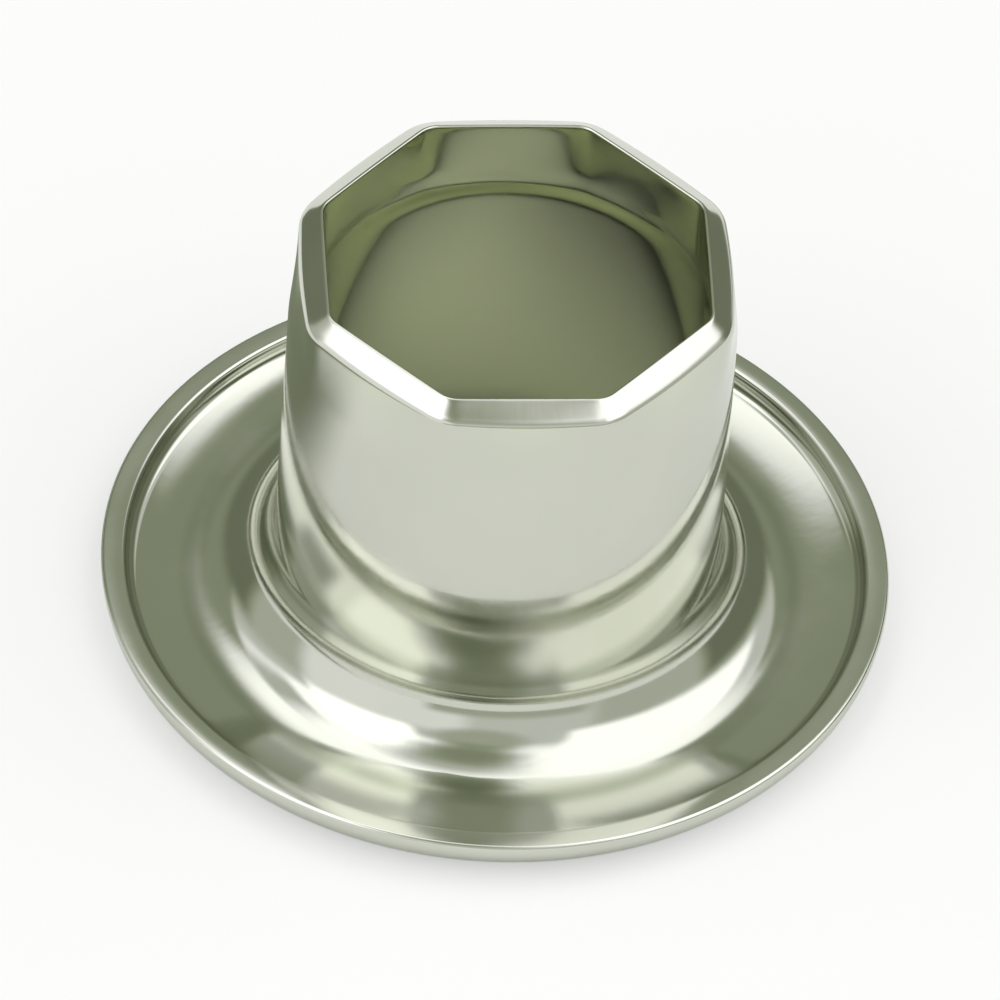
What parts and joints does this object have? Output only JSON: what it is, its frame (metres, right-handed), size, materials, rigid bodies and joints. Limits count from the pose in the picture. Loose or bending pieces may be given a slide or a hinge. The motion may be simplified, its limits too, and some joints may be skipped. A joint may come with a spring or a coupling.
{
  "type": "tarpaulin eyelet",
  "caption": "One-piece sheet metal eyelet with a rolled head, a round barrel and an eight-sided mouth, set through a hole in cloth so that a cord can pass.",
  "frame": {"origin": "middle of the head's face, level with the crown that the eyelet stands on", "axes": "+Z along the barrel's axis, from the head towards the free end; +X and +Y each pass through the middle of a flat of the mouth"},
  "size_m": [0.0098, 0.0098, 0.006],
  "materials": {
    "nickel_plate": "bright nickel plate"
  },
  "bodies": {
    "root": {"eyelet": "nickel_plate"}
  },
  "joints": []
}
